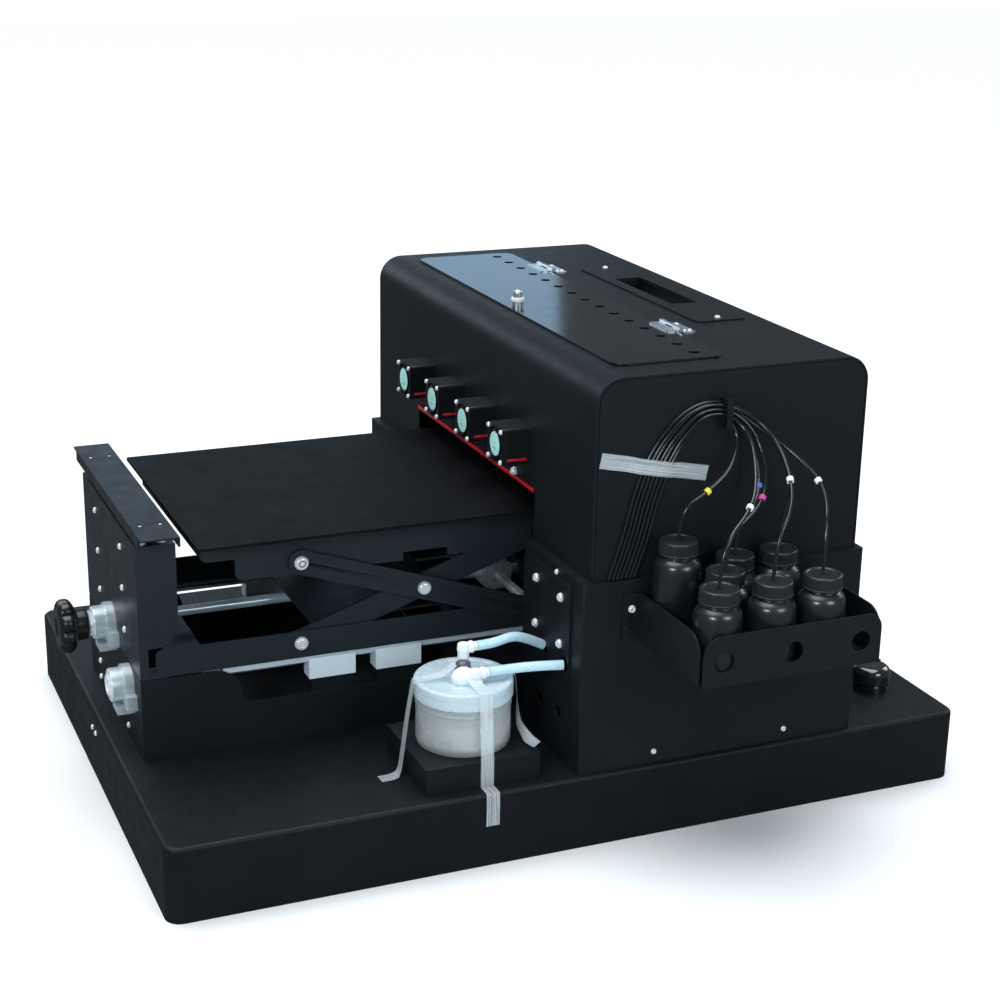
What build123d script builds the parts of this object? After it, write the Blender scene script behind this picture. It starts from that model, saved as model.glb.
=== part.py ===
from build123d import *
import os
from math import cos, sin, tan, radians, acos, pi

# Flatbed UV printer. Millimetres, +Z up. The origin is the centre of the base's underside.
# +Y is the way the table travels into the cabinet, and -Y the end with the handwheel.
# +X is the side that carries the ink bottles.

# base
baseX, baseY, baseZ = 570, 780, 70
sheet = 2.0

# fixed stand that carries the table
plateY = -369            # outer face of both end plates
halfFrame = 115          # outer faces of the table's side flanges
standTop = 148
standWallTop = 113
standEnd = 310
blockYs = (-190.5, -125.5, 40, 180)
feedX, feedZ = 70, 129.5

# table frame and scissor lift
frameBottom, frameSideTop, frameTop, frameEnd = 149.5, 175.5, 275, 52
wingWidth = 36
channelX, channelTop = 148, 292
armLength = 250          # from one end pivot to the other
armAngle = 18.6          # degrees from the horizontal at rest
lowAngle = 8.0           # and with the bed all the way down
armWidth, armThick = 23, 3
pivotY, pivotZ = -220, 164
skirtBottom, skirtTop, skirtFront, skirtEnd = 232, 274, -311, 50
bedX, bedFront, bedEnd, bedTop, bedThick = 143.5, -320, 50, 276.8, 2.8
wheelFront, wheelThick, wheelRadius = -421, 16, 26.5

# cabinet
towerIn, towerOut, towerFront, towerBack, towerTop = 153, 280, -15, 270, 252
cowlX, cowlFront, cowlBack, cowlTop, cowlRound = 276, -6, 263, 435, 24
openX, openTop = 152, 297
lidX, lidFront, lidBack, lidThick = 244, 26, 134, 2
knobX, knobY = 5, 37
hingeXs, hingeY, hingeZ = (-153, 132.5), 138, 438.9
panelX, panelFront, panelBack = (-147, 119), 173, 228
windowX, windowY = (-83, 43), (185, 214)
fanXs, fanZ, fanSize, fanFront = (-121.8, -40.6, 40.6, 121.8), 338, 35, -34

# bottle rack: inner corner positions and the seven bottles (x, y, height of the cap's top)
rackX, rackY, rackZ, rackTop = (280, 395), (40, 218), 193, 239
bottles = [(302, 64, 293), (302, 121, 273), (335, 93, 273), (371, 67, 273),
           (302, 165, 273), (371, 119, 273), (371, 168, 273)]
bottleRadius, capRadius, capHeight = 21.25, 17.2, 12

# waste ink jar on its stand
jarX, jarY, jarFoot, jarTop, jarRadius = 219, -101.5, 95, 156, 43
hoseRadius = 4.5

nodes = {}


def span(x, y, z):
    """Box between the given x, y and z limits."""
    return Pos((x[0] + x[1]) / 2, (y[0] + y[1]) / 2, (z[0] + z[1]) / 2) * Box(
        x[1] - x[0], y[1] - y[0], z[1] - z[0])


def rodX(x0, x1, y, z, r):
    return Pos((x0 + x1) / 2, y, z) * Rot(0, 90, 0) * Cylinder(r, x1 - x0)


def rodY(y0, y1, x, z, r):
    return Pos(x, (y0 + y1) / 2, z) * Rot(90, 0, 0) * Cylinder(r, y1 - y0)


def rodZ(z0, z1, x, y, r):
    return Pos(x, y, (z0 + z1) / 2) * Cylinder(r, z1 - z0)


def sideProfile(points, x0, x1, rounds=()):
    """Prism of a (y, z) outline between x0 and x1; rounds holds (point, radius) for its corners."""
    face = make_face(Polyline(*points, close=True))
    for (py, pz), r in rounds:
        corner = face.vertices().sort_by_distance((py, pz, 0))[0]
        face = fillet(corner, r)
    return extrude(Plane(origin=(x0, 0, 0), x_dir=(0, 1, 0), z_dir=(1, 0, 0)) * face, x1 - x0)


def frontPlate(x, z, y0, y1, r):
    """Upright plate across Y with rounded corners."""
    face = Pos((x[0] + x[1]) / 2, (z[0] + z[1]) / 2) * RectangleRounded(x[1] - x[0], z[1] - z[0], r)
    return extrude(Plane(origin=(0, y0, 0), x_dir=(1, 0, 0), z_dir=(0, -1, 0)) * face, -(y1 - y0))


def flatPlate(x, y, z0, z1, r):
    face = Pos((x[0] + x[1]) / 2, (y[0] + y[1]) / 2) * RectangleRounded(x[1] - x[0], y[1] - y[0], r)
    return extrude(Pos(0, 0, z0) * face, z1 - z0)


def both(solid):
    """A solid and its mirror image across the middle plane."""
    return solid + mirror(solid, Plane.YZ)


# ---------------------------------------------------------------- base and stand

def basePan():
    shell = extrude(RectangleRounded(baseX, baseY, 14), baseZ)
    shell = fillet(shell.edges().group_by(Axis.Z)[-1], 4)
    shell -= extrude(RectangleRounded(baseX - 2 * sheet, baseY - 2 * sheet, 12), baseZ - sheet)
    cover = extrude(RectangleRounded(baseX - 2 * sheet - 0.4, baseY - 2 * sheet - 0.4, 11.8), 1.5)
    return Compound(children=[shell, cover])


def stand():
    end = span((-halfFrame, halfFrame), (plateY, plateY + sheet), (baseZ, standTop))
    wall = sideProfile([(plateY, baseZ), (plateY, standTop), (-276, standTop), (-276, standWallTop),
                        (standEnd, standWallTop), (standEnd, baseZ)],
                       halfFrame - sheet, halfFrame, [((-276, standTop), 26), ((-276, standWallTop), 8)])
    foot = span((halfFrame - 18, halfFrame), (plateY, standEnd), (baseZ, baseZ + sheet))
    pads = [span((halfFrame - 15, halfFrame - 1), (y - 20, y + 20), (standWallTop - 8, 127)) for y in blockYs]
    tie = [span((-halfFrame, halfFrame), (y, y + sheet), (baseZ, 108)) for y in (-60, 150, standEnd - sheet)]
    body = end + both(wall + foot) + tie
    for pad in pads:
        body += both(pad)
    body -= rodY(plateY - 1, plateY + sheet + 1, feedX, feedZ, 7)
    for y in (150, standEnd - sheet, -60):
        body -= span((feedX - 20, feedX + 20), (y - 1, y + sheet + 1), (100, 150))
    return body


def slideBlocks():
    solids = []
    for y in blockYs:
        for side in (1, -1):
            block = span((99, 116), (y - 22.5, y + 22.5), (127, 147))
            block -= span((101.2, 113.8), (y - 23, y + 23), (143.2, 148))
            solids.append(block if side == 1 else mirror(block, Plane.YZ))
    return Compound(children=solids)


def bearingBlock(x, z, y, bore):
    """Pillow bearing on a plate whose face is at y, standing out towards -Y."""
    body = rodY(y - 19, y - 8, x, z, 15.5) + rodY(y - 8, y, x, z, 18)
    body += span((x - 12, x + 28), (y - 9, y), (z - 17, z - 3))
    body += span((x - 6, x + 16), (y - 16, y), (z - 24, z - 17))
    body -= rodY(y - 30, y + 1, x, z, bore)
    body -= rodZ(z - 30, z - 16, x + 6, y - 9, 2)
    return body


def feedScrew():
    screw = rodY(plateY - 20, 214, feedX, feedZ, 5.9)
    return screw


def feedMotor():
    body = span((feedX - 18, feedX + 18), (228, 262), (feedZ - 18, feedZ + 18))
    body = fillet(body.edges().filter_by(Axis.Y), 3)
    body += rodY(215, 228, feedX, feedZ, 8)
    body += span((feedX - 18, feedX + 18), (226, 262), (baseZ, feedZ - 10))
    return body


# ---------------------------------------------------------------- table

def tableFrame():
    end = span((-halfFrame, halfFrame), (plateY, plateY + sheet), (frameBottom, frameTop))
    top = flatPlate((-halfFrame, halfFrame), (plateY, plateY + wingWidth), frameTop - sheet, frameTop, 7)
    wingEnd = plateY + wingWidth
    wing = sideProfile([(plateY, frameBottom), (plateY, frameTop), (wingEnd, frameTop), (wingEnd, 178),
                        (plateY + 8, 178), (plateY + 8, frameBottom + 4)],
                       halfFrame - sheet, halfFrame, [((wingEnd, 178), 21)])
    side = sideProfile([(plateY + 4, frameBottom), (plateY + 14.5, frameBottom + 6),
                        (plateY + 14.5, frameSideTop), (frameEnd, frameSideTop), (frameEnd, frameBottom)],
                       halfFrame - sheet, halfFrame, [((plateY + 14.5, frameSideTop), 6)])
    floor = span((halfFrame - 20, halfFrame), (plateY, frameEnd), (frameBottom, frameBottom + sheet))
    body = end + top + both(wing + side + floor)
    body += span((-halfFrame, halfFrame), (frameEnd - sheet, frameEnd), (frameBottom, frameSideTop - 8))
    body += span((-halfFrame, halfFrame), (-335, -300), (frameBottom, frameBottom + sheet))
    body += flatPlate((-100, 100), (-207, -60), frameSideTop + 1, frameSideTop + 3, 4)
    for x in (-98, 98):
        for y in (-200, -70):
            body += span((x - 2, x + 2), (y - 6, y + 6), (frameBottom, frameSideTop + 2))
    body += span((feedX - 13, feedX + 13), (-331, -306), (115, frameBottom + 1))
    body -= rodY(-340, -300, feedX, feedZ, 5.96)
    body -= rodY(plateY - 1, plateY + 3, 0, pivotZ, 6)
    # clearance slots for the shaft that joins the outer arms, and bores for the lower pivots
    travel = armLength * (cos(radians(lowAngle)) - cos(radians(armAngle)))
    reach = pivotY + armLength * cos(radians(armAngle))
    for side in (-1, 1):
        slot = span((side * 114 - 3, side * 114 + 3), (reach - 10.5, reach + travel + 6), (pivotZ - 5.4, pivotZ + 5.4))
        body -= slot
        body -= rodX(side * 114 - 3, side * 114 + 3, pivotY, pivotZ, 4)
    return body


def tableRails():
    rail = span((101.7, 112.6), (plateY + 76, frameEnd), (143.5, frameBottom))
    return Compound(children=[rail, mirror(rail, Plane.YZ)])


def topChannel():
    y0, y1 = plateY - 1.5, plateY + 33
    top = span((-channelX, channelX), (y0, y1), (channelTop - sheet, channelTop))
    lips = [span((-channelX + 12, channelX - 12), (y0, y0 + sheet), (channelTop - 11, channelTop)),
            span((-channelX, channelX), (y1 - sheet, y1), (channelTop - 9, channelTop))]
    body = top + lips
    for x in (-107, 107):
        for y in (plateY + 7, plateY + 25):
            body -= span((x - 3.5, x + 3.5), (y - 1.6, y + 1.6), (channelTop - 3, channelTop + 1))
    return body


def tableScrews():
    """Stand-offs under the channel, screws on the end plate and the two lower pivots."""
    solids = []
    for x in (-107, 107):
        for y in (plateY + 7, plateY + 25):
            solids.append(rodZ(frameTop, frameTop + 3, x, y, 5) + rodZ(frameTop + 3, channelTop - sheet, x, y, 3))
    for x, z in ((-59, 254), (-54, 215), (52, 255), (54, 216), (-53, 176), (56, 176)):
        solids.append(rodY(plateY - 2, plateY, x, z, 3))
    for side in (1, -1):
        pin = rodX(halfFrame, halfFrame + 4.5, pivotY, pivotZ, 6.5)
        pin = fillet(pin.edges().group_by(Axis.X)[-1], 3)
        pin += rodX(107.5, halfFrame, pivotY, pivotZ, 3.98)
        solids.append(pin if side == 1 else mirror(pin, Plane.YZ))
    return Compound(children=solids)


def liftScrew():
    screw = rodY(plateY - 35, 44, 0, pivotZ, 4.9)
    screw += rodY(plateY - 20, plateY - 19.4, 0, pivotZ, 7)
    return screw


def handwheel():
    """Lobed wheel on a plain hub, with a lock nut behind the hub."""
    outline = Circle(wheelRadius - 3.5)
    for k in range(8):
        a = radians(45 * k + 22.5)
        outline += Pos((wheelRadius - 6) * cos(a), (wheelRadius - 6) * sin(a)) * Circle(6)
    outline = fillet([v for v in outline.vertices()], 2)
    face = Plane(origin=(0, wheelFront, pivotZ), x_dir=(1, 0, 0), z_dir=(0, -1, 0)) * outline
    wheel = extrude(face, -wheelThick)
    hub = rodY(wheelFront + wheelThick, plateY - 23.5, 0, pivotZ, 15)
    body = wheel + hub + rodY(plateY - 23.5, plateY - 20.2, 0, pivotZ, 10)
    return body - rodY(plateY - 35, plateY, 0, pivotZ, 4.9)


# ---------------------------------------------------------------- scissor lift

def armPoint(t, falling):
    """Point at fraction t of an arm: the inner arms rise from the lower pivot, the outer ones fall."""
    a = radians(armAngle)
    y = pivotY + t * armLength * cos(a)
    rise = armLength * sin(a)
    return y, pivotZ + (rise * (1 - t) if falling else rise * t)


def arm(x0, x1, falling, holes):
    (ya, za), (yb, zb) = armPoint(0, falling), armPoint(1, falling)
    slot = SlotCenterToCenter(armLength, armWidth)
    angle = -armAngle if falling else armAngle
    face = Pos((ya + yb) / 2, (za + zb) / 2) * Rot(0, 0, angle) * slot
    bar = extrude(Plane(origin=(x0, 0, 0), x_dir=(0, 1, 0), z_dir=(1, 0, 0)) * face, x1 - x0)
    for t, r in holes:
        y, z = armPoint(t, falling)
        bar -= rodX(x0 - 1, x1 + 1, y, z, r)
    return bar


def innerArms():
    bar = arm(109.4, 109.4 + armThick, False, [(0, 4.04), (0.5, 4.04)])
    y, z = armPoint(1, False)
    return both(bar) + rodX(-115.4, 115.4, y, z, 4)


def outerArms():
    bar = arm(115.7, 115.7 + armThick, True, [(0, 4.04), (0.5, 4), (1, 5)])
    return Compound(children=[bar, mirror(bar, Plane.YZ)])


def outerArmPins():
    """Centre pivots and the cross shaft that carries the lift nut."""
    y, z = armPoint(0.5, True)
    pin = rodX(118.7, 123.2, y, z, 6.5)
    pin = fillet(pin.edges().group_by(Axis.X)[-1], 3)
    pin += rodX(107, 118.7, y, z, 3.98) + rodX(112.6, 115.7, y, z, 5.5)
    y, z = armPoint(1, True)
    shaft = rodX(-118.7, 118.7, y, z, 4.98)
    shaft -= rodX(-15, 15, y, z, 6)
    return Compound(children=[pin, mirror(pin, Plane.YZ)] + list(shaft.solids()))


def liftNut():
    """Nut block on the lift screw, with a trunnion bore each side for the cross shaft's ends."""
    y, z = armPoint(1, True)
    body = span((-19, 19), (y - 13, y + 13), (z - 13, z + 13))
    body = fillet(body.edges().filter_by(Axis.X), 2)
    for side in (-1, 1):
        body -= rodX(side * 17.5 - 3.5, side * 17.5 + 3.5, y, z, 5.04)
    return body - rodY(y - 14, y + 14, 0, z, 4.96)


def bedPlate():
    plate = flatPlate((-bedX, bedX), (bedFront, bedEnd), bedTop - bedThick, bedTop, 2)
    return plate


def bedFrame():
    """Side skirts and cross members under the bed, with the upper pivots."""
    y0 = skirtFront
    points = [(y0, skirtTop), (y0, 253), (-280, 253), (-280, skirtBottom), (-121, skirtBottom), (-121, 240),
              (-77, 240), (-77, skirtBottom), (20, skirtBottom), (skirtEnd, 238), (skirtEnd, skirtTop)]
    skirt = sideProfile(points, halfFrame - sheet, halfFrame,
                        [((y0, 253), 6), ((-280, 253), 2), ((-280, skirtBottom), 8)])
    yu, zu = armPoint(0, True)
    ye, ze = armPoint(1, False)
    travel = armLength * (cos(radians(lowAngle)) - cos(radians(armAngle)))
    skirt -= span((110, 118), (ye - 9, ye + travel + 5), (ze - 4.4, ze + 4.4))
    pin = rodX(119, 123.2, yu, zu, 6.5)
    pin = fillet(pin.edges().group_by(Axis.X)[-1], 3)
    skirt += pin + rodX(halfFrame - sheet, 119, yu, zu, 4)
    flange = span((halfFrame - 18, halfFrame), (y0, skirtEnd), (skirtTop - sheet, skirtTop))
    body = both(skirt + flange)
    for y in (y0, -150, skirtEnd - sheet):
        body += span((-halfFrame, halfFrame), (y, y + sheet), (skirtTop - 18, skirtTop))
    return body


# ---------------------------------------------------------------- cabinet

def towers():
    """The two lower side boxes that the cowl stands on; the table runs between them."""
    outer = span((towerIn, towerOut), (towerFront, towerBack), (baseZ, towerTop))
    outer = fillet(outer.edges().filter_by(Axis.Z), 2)
    body = outer - span((towerIn + sheet, towerOut - sheet), (towerFront + sheet, towerBack - sheet),
                        (baseZ + sheet, towerTop - sheet))
    body -= span((towerIn + 30, towerOut - 30), (towerFront + 40, towerBack - 40), (towerTop - 3, towerTop + 1))
    drilled = body - [rodY(towerFront - 1, towerFront + 3, x, z, r)
                      for x, z, r in ((204.5, 166, 8), (249, 166, 8), (194.7, 110, 6), (234, 114, 6))]
    return Compound(children=[drilled, mirror(body, Plane.YZ)])


def bracketPlates():
    plate = frontPlate((towerIn + 3, 258), (150, 243), towerFront - 2, towerFront, 8)
    for x in (204.5, 249):
        plate -= rodY(towerFront - 3, towerFront + 1, x, 166, 8)
    return Compound(children=[plate, mirror(plate, Plane.YZ)])


def cowl():
    def block(inset, depth):
        solid = span((-depth, depth), (cowlFront + inset, cowlBack - inset), (towerTop - 1, cowlTop - inset))
        return fillet(solid.edges().filter_by(Axis.X).group_by(Axis.Z)[-1], cowlRound - inset)

    # the wrap and the two side panels, parted by a fine seam round each side
    seam = block(2.2, cowlX + 1) - block(3, cowlX + 2)
    body = block(0, cowlX) & span((-cowlX, cowlX), (cowlFront, cowlBack), (towerTop, cowlTop))
    sides = [edge for face in (body.faces().sort_by(Axis.X)[0], body.faces().sort_by(Axis.X)[-1])
             for edge in face.edges() if edge.center().Z > towerTop + 1]
    body = fillet(sides, 0.9)
    body -= seam - span((-cowlX + 0.8, cowlX - 0.8), (cowlFront - 1, cowlBack + 1), (towerTop - 2, cowlTop + 1))
    inside = span((-cowlX + sheet, cowlX - sheet), (cowlFront + sheet, cowlBack - sheet), (towerTop - 1, cowlTop - sheet))
    inside = fillet(inside.edges().filter_by(Axis.X).group_by(Axis.Z)[-1], cowlRound - sheet)
    body -= inside
    body -= span((-openX, openX), (cowlFront - 1, cowlFront + 4), (towerTop - 1, openTop))
    body -= span((-openX, openX), (cowlBack - 4, cowlBack + 1), (towerTop - 1, openTop))
    body -= flatPlate((-lidX + 8, lidX - 8), (lidFront + 8, lidBack - 30), cowlTop - 3, cowlTop + 1, 8)
    body -= span(windowX, windowY, (cowlTop - 3, cowlTop + 1))
    for x in fanXs:
        body -= rodY(cowlFront - 1, cowlFront + 4, x, fanZ, 15)
    return body


def fanShrouds():
    solids = []
    half = fanSize / 2
    for x in fanXs:
        duct = span((x - half, x + half), (fanFront, cowlFront), (fanZ - half, fanZ + half))
        duct = fillet(duct.edges().filter_by(Axis.Y), 3)
        duct -= rodY(fanFront - 1, cowlFront + 1, x, fanZ, 16)
        duct += rodY(fanFront, fanFront + 2, x, fanZ, 11.8)
        for a in (90, 210, 330):
            strut = Pos(x, fanFront + 1, fanZ) * Rot(0, -a, 0) * Pos(13.5, 0, 0) * Box(6.5, 2, 2)
            duct += strut
        duct += rodY(fanFront + 2, fanFront + 12, x, fanZ, 1.5)
        solids.append(duct)
    return Compound(children=solids)


def fanRotor(x):
    """Hub with seven pitched blades on the fan's fixed spindle."""
    y0, y1 = fanFront + 2.5, fanFront + 11
    body = rodY(y0, y1, x, fanZ, 10.5)
    for k in range(7):
        blade = Pos(x, (y0 + y1) / 2, fanZ) * Rot(0, 360 / 7 * k, 0) * Pos(12.6, 0, 0) * Rot(38, 0, 0) * Box(5.6, 1, 8)
        body += blade
    body &= rodY(y0, y1, x, fanZ, 15.5)
    return body - rodY(y0 - 1, y1 + 1, x, fanZ, 1.56)


def lid():
    plate = flatPlate((-lidX, lidX), (lidFront, lidBack), cowlTop + 0.3, cowlTop + 0.3 + lidThick, 12)
    for k in range(15):
        plate -= rodZ(cowlTop - 1, cowlTop + 5, -225.4 + 32.2 * k, 112, 5)
    return plate


def hingeLeaf(x, moving):
    """One leaf of a small butterfly hinge; the fixed leaf carries the pin."""
    knuckle, z0 = 2.3, (cowlTop + 0.3 + lidThick if moving else cowlTop)
    edge = 14 if moving else 16
    if moving:
        leaf = span((x - 20, x + 20), (hingeY - edge, hingeY - 4), (z0, z0 + 1.2))
        barrels = [(x - 20, x - 7.2), (x + 7.2, x + 20)]
    else:
        leaf = span((x - 20, x + 20), (hingeY + 3, hingeY + edge), (z0, z0 + 1.2))
        barrels = [(x - 6.8, x + 6.8)]
    leaf = fillet(leaf.edges().filter_by(Axis.Z), 3)
    for a, b in barrels:
        leaf += rodX(a, b, hingeY, hingeZ, knuckle)
        if moving:
            leaf += span((a, b), (hingeY - 5, hingeY), (z0, z0 + 1.2))
            leaf -= rodX(a - 1, b + 1, hingeY, hingeZ, 1.06)
        else:
            leaf += span((a, b), (hingeY - 0.8, hingeY + 5), (z0, z0 + 1.2))
            leaf += span((a, b), (hingeY - 0.8, hingeY + 0.8), (z0, hingeZ))
    if not moving:
        leaf += rodX(x - 20, x + 20, hingeY, hingeZ, 1)
    return leaf


def lidFittings():
    z = cowlTop + 0.3 + lidThick
    knob = rodZ(z, z + 4, knobX, knobY, 6) + rodZ(z + 4, z + 16, knobX, knobY, 4.6)
    knob = fillet(knob.edges().group_by(Axis.Z)[-1], 3)
    return Compound(children=[knob] + [hingeLeaf(x, True) for x in hingeXs])


def panelPlate():
    plate = flatPlate(panelX, (panelFront, panelBack), cowlTop, cowlTop + 1.6, 9)
    return plate - span(windowX, windowY, (cowlTop - 1, cowlTop + 3))


buttonPlaces = [(-63, 22), (-40, 13), (-21, 13), (-2, 13), (18, 16)]


def controlPanel():
    tray = span((windowX[0] - 5, windowX[1] + 5), (windowY[0] - 5, windowY[1] + 5), (417, 424))
    rim = span((windowX[0] - 5, windowX[1] + 5), (windowY[0] - 5, windowY[1] + 5), (424, cowlTop - sheet))
    rim -= span((windowX[0] - 1, windowX[1] + 1), (windowY[0] - 1, windowY[1] + 1), (423, cowlTop))
    body = tray + rim
    for x, w in buttonPlaces:
        body -= span((x - w / 2, x + w / 2), (191, 202), (419.5, 425))
    return body


def button(x, w):
    body = span((x - w / 2 + 0.35, x + w / 2 - 0.35), (191.35, 201.65), (421, 427.5))
    return fillet(body.edges().group_by(Axis.Z)[-1], 1)


def bodyScrews():
    """Screws and bolts on the cabinet, the bracket plates, the fans, the stand and the rack."""
    solids = []
    for side in (1, -1):
        for x in (186, 239):
            for z in (182.5, 227):
                solids.append(rodY(towerFront - 5, towerFront - 2, side * x, z, 4))
        solids.append(rodY(towerFront - 2, towerFront, side * 225, 246, 2.5))
        for y in (61, 197):
            solids.append(rodX(towerOut, towerOut + 1.6, y, 81.5, 2.6) if side == 1 else
                          rodX(-towerOut - 1.6, -towerOut, y, 81.5, 2.6))
    solids.append(rodY(cowlFront - 4, cowlFront, 106, 304, 4))
    for x in fanXs:
        for dx in (-14.5, 14.5):
            for dz in (-14.5, 14.5):
                solids.append(rodY(fanFront - 1.6, fanFront, x + dx, fanZ + dz, 2.2))
    for x in (-137, 109):
        solids.append(rodZ(cowlTop + 1.6, cowlTop + 3.4, x, 200, 2.8))
    for x, z in ((-69, 95), (-69, 78), (57, 95), (55, 80)):
        solids.append(rodY(plateY - 2, plateY, x, z, 3))
    for x in (-16, -1):
        solids.append(rodY(-baseY / 2 - 1.6, -baseY / 2, x, 50, 2.6))
    for y in (32, 226):
        solids.append(rodX(rackX[0] + 1.5, rackX[0] + 4, y, 225, 3.4))
    return Compound(children=solids)


# ---------------------------------------------------------------- rack and bottles

def bottleRack():
    t = 1.5
    x0, x1 = rackX
    y0, y1 = rackY
    floor = span((x0 + t, x1), (y0, y1), (rackZ, rackZ + t))
    front = sideProfile([(y0 + 2, rackZ), (y0 + 2, rackTop), (y1 - 2, rackTop), (y1 - 2, rackZ)], x1 - t, x1,
                        [((y0 + 2, rackTop), 18), ((y1 - 2, rackTop), 14)])
    for y in (62, 129, 196):
        front -= rodX(x1 - 5, x1 + 5, y, 215, 9.3)
    body = floor + front
    for ya, flangeY in ((y0, (y0 - 17, y0 + t)), (y1 - t, (y1 - t, y1 + 17))):
        face = make_face(Polyline((x0, rackZ), (x0, rackTop), (x1 - 4, rackTop), (x1 - 4, rackZ), close=True))
        face = fillet(face.vertices().sort_by_distance((x1 - 4, rackTop, 0))[0], 20)
        end = extrude(Plane(origin=(0, ya, 0), x_dir=(1, 0, 0), z_dir=(0, -1, 0)) * face, -t)
        flange = sideProfile([(flangeY[0], rackZ), (flangeY[0], rackTop), (flangeY[1], rackTop), (flangeY[1], rackZ)],
                             x0, x0 + t)
        middle = (flangeY[0] + flangeY[1]) / 2
        flange -= rodX(x0 - 1, x0 + 3, middle, 213, 3.6) + span((x0 - 1, x0 + 3), (middle - 2, middle + 2), (206, 213))
        body += end + flange
    return body


def inkBottle(x, y, top):
    """Wide-necked round bottle; its neck stands inside the cap."""
    foot, r = rackZ + 1.5, bottleRadius
    shoulder, neck = top - 26, top - 14
    outline = make_face([Line((0, foot), (r - 3, foot)), RadiusArc((r - 3, foot), (r, foot + 3), -3),
                         Line((r, foot + 3), (r, shoulder)), RadiusArc((r, shoulder), (15.2, neck), -11),
                         Line((15.2, neck), (15.2, top - capHeight)), Line((15.2, top - capHeight), (14, top - capHeight)),
                         Line((14, top - capHeight), (14, top - 2)), Line((14, top - 2), (0, top - 2)),
                         Line((0, top - 2), (0, foot))])
    return Pos(x, y, 0) * revolve(Plane.XZ * outline, Axis.Z)


def bottleCap(x, y, top):
    cap = rodZ(top - capHeight, top, x, y, capRadius)
    cap = fillet(cap.edges().group_by(Axis.Z)[-1], 1)
    return cap - rodZ(top - capHeight - 1, top - 2, x, y, 14)


# ---------------------------------------------------------------- cords

tubeRadius, lanePitch = 1.6, 4.1
wallX = cowlX + tubeRadius + 0.15


def laneRoute(lane):
    """Points of one tube from the gap under the cowl, up the side panel and over to the clip.

    Lane 0 is on the outside of the bend and lane 6 on its inside. They lie flat against the
    panel, and odd lanes rise one layer while the ribbon narrows into the clip.
    """
    lift = 3.4 if lane % 2 else 0
    # y and z of the ribbon's middle, its width, how far it has risen, and its heading in degrees
    middle = [(22, 253.4, 1, 0, 90), (34, 287, 1, 0, 74), (41, 319, 1, 0, 73), (52, 352, 1, 0.1, 66),
              (70, 382, 0.86, 0.45, 50), (93, 401, 0.6, 0.9, 20), (120, 399, 0.46, 1, -20)]
    points = []
    for y, z, width, rise, heading in middle:
        a = radians(heading)
        offset = (lane - 3) * lanePitch * width
        points.append((wallX + lift * rise, y + offset * sin(a), z - offset * cos(a)))
    return points


def tubeRoutes():
    """Whole routes in the order of the list of bottles: each one's lane, then its own tail."""
    tails = [
        (6, [(285, 128, 375), (299, 115, 352), (303, 91, 334), (302, 64, 319), (302, 64, 293)]),
        (4, [(284, 137, 374), (294, 145, 346), (303, 140, 318), (302, 121, 296), (302, 121, 273)]),
        (3, [(290, 140, 381), (308, 144, 352), (327, 131, 324), (335, 93, 304), (335, 93, 273)]),
        (5, [(296, 132, 380), (321, 126, 355), (350, 108, 333), (371, 67, 309), (371, 67, 273)]),
        (0, [(282.5, 151, 385.5), (296, 166, 356), (303, 176, 326), (302, 165, 299), (302, 165, 273)]),
        (1, [(299, 146, 387), (328, 151, 362), (358, 143, 334), (371, 119, 305), (371, 119, 273)]),
        (2, [(289, 148, 379), (313, 170, 362), (344, 184, 337), (371, 168, 307), (371, 168, 273)]),
    ]
    return [laneRoute(lane) + tail for lane, tail in tails]


hoseRoutes = [
    [(212, -86, 180), (212, -70, 180), (209, -50, 183.5), (205, -32, 176), (204.5, -17.5, 168)],
    [(236, -84, 164), (236, -68, 164), (242, -44, 166), (249, -17.5, 166)],
]


def turnRadii(points):
    """Largest tangent radii that leave a tenth of each run straight."""
    vectors = [Vector(*b) - Vector(*a) for a, b in zip(points, points[1:])]
    radii = []
    for u, v in zip(vectors, vectors[1:]):
        half = acos(max(-1, min(1, u.normalized().dot(v.normalized())))) / 2
        radii.append(0.45 * min(u.length, v.length) / tan(half))
    return radii


def tube(name, points, radius):
    radii = turnRadii(points)
    path = FilletPolyline(*points, radius=radii)
    section = Plane(origin=points[0], z_dir=Vector(*points[1]) - Vector(*points[0])) * Circle(radius)
    solid = sweep(section, path)
    length = path.length
    print(name, "length", round(length, 1), "least radius", round(min(radii), 1),
          "volume ratio", round(solid.volume / (pi * radius ** 2 * length), 4))
    return solid


def ringOn(points, radius):
    """Marker ring round a tube, in the middle of the third run from its end."""
    a, b = Vector(*points[-4]), Vector(*points[-3])
    middle, way = (a + b) / 2, (b - a).normalized()
    plane = Plane(origin=middle - way * 2, z_dir=way)
    return extrude(plane * (Circle(radius + 1.3) - Circle(radius + 0.05)), 4)


# ---------------------------------------------------------------- waste jar

def wasteJar():
    jar = rodZ(jarFoot, jarTop - 3, jarX, jarY, jarRadius)
    jar = fillet(jar.edges().group_by(Axis.Z)[0], 3)
    return jar - rodZ(jarFoot + 2, jarTop, jarX, jarY, jarRadius - 2)


def jarLid():
    """Screw lid with its dark vent cap and the two elbows the hoses push on to."""
    lidBody = rodZ(jarTop - 16, jarTop, jarX, jarY, jarRadius + 1.8)
    lidBody -= rodZ(jarTop - 17, jarTop - 3, jarX, jarY, jarRadius)
    body = lidBody + rodZ(jarTop, jarTop + 13, jarX - 1, jarY, 8)
    for x, y, z in (route[0] for route in hoseRoutes):
        body += rodZ(jarTop - 1, z + 4, x, y - 13, 4.5)
        body += rodY(y - 13, y, x, z, 4.2)
    return body


# ---------------------------------------------------------------- inside the cabinet

railY, railZ = 70, 336


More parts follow.
